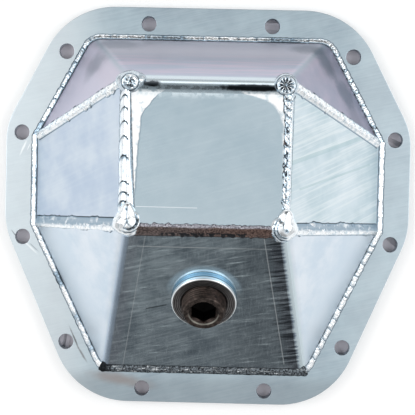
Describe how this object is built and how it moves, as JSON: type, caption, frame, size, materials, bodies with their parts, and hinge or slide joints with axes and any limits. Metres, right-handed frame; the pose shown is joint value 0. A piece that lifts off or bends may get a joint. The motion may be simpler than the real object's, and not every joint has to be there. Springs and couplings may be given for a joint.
{
  "type": "differential cover",
  "caption": "Fabricated steel differential cover: a faceted plate dome welded to a flat bolting flange, with a threaded fill plug in its lower slope.",
  "frame": {"origin": "centre of the overall box in X and Y, on the gasket face", "axes": "+Z out of the axle, away from the gasket face; +Y up on the vehicle; +X to the right when the cover is seen from outside"},
  "size_m": [0.3174, 0.3104, 0.0952],
  "materials": {
    "zinc_flange": "laser-cut steel plate, thin zinc plating, satin",
    "zinc_plate": "rolled and folded steel plate, thin zinc plating, satin with grinding marks",
    "weld_metal": "rippled weld metal under thin zinc plating",
    "turned_steel": "turned steel, brown-grey",
    "blackened_steel": "blackened steel with a reddish-brown cast"
  },
  "bodies": {
    "root": {"flange_ring": "zinc_flange", "formed_top_plate": "zinc_plate", "formed_bottom_plate": "zinc_plate", "left_side_plate": "zinc_plate", "right_side_plate": "zinc_plate", "bung_inner_weld": "weld_metal", "flange_weld_top": "weld_metal", "flange_weld_upper_left": "weld_metal", "flange_weld_upper_right": "weld_metal", "flange_weld_left": "weld_metal", "flange_weld_right": "weld_metal", "flange_weld_lower_left": "weld_metal", "flange_weld_lower_right": "weld_metal", "flange_weld_bottom": "weld_metal", "face_weld_left": "weld_metal", "face_weld_right": "weld_metal", "face_weld_bottom": "weld_metal", "ridge_weld_upper_left": "weld_metal", "ridge_weld_upper_right": "weld_metal", "ridge_weld_lower_left": "weld_metal", "ridge_weld_lower_right": "weld_metal", "corner_weld_upper_left": "weld_metal", "corner_weld_upper_right": "weld_metal", "corner_weld_lower_left": "weld_metal", "corner_weld_lower_right": "weld_metal", "fill_bung": "turned_steel", "fill_plug": "blackened_steel"}
  },
  "joints": []
}
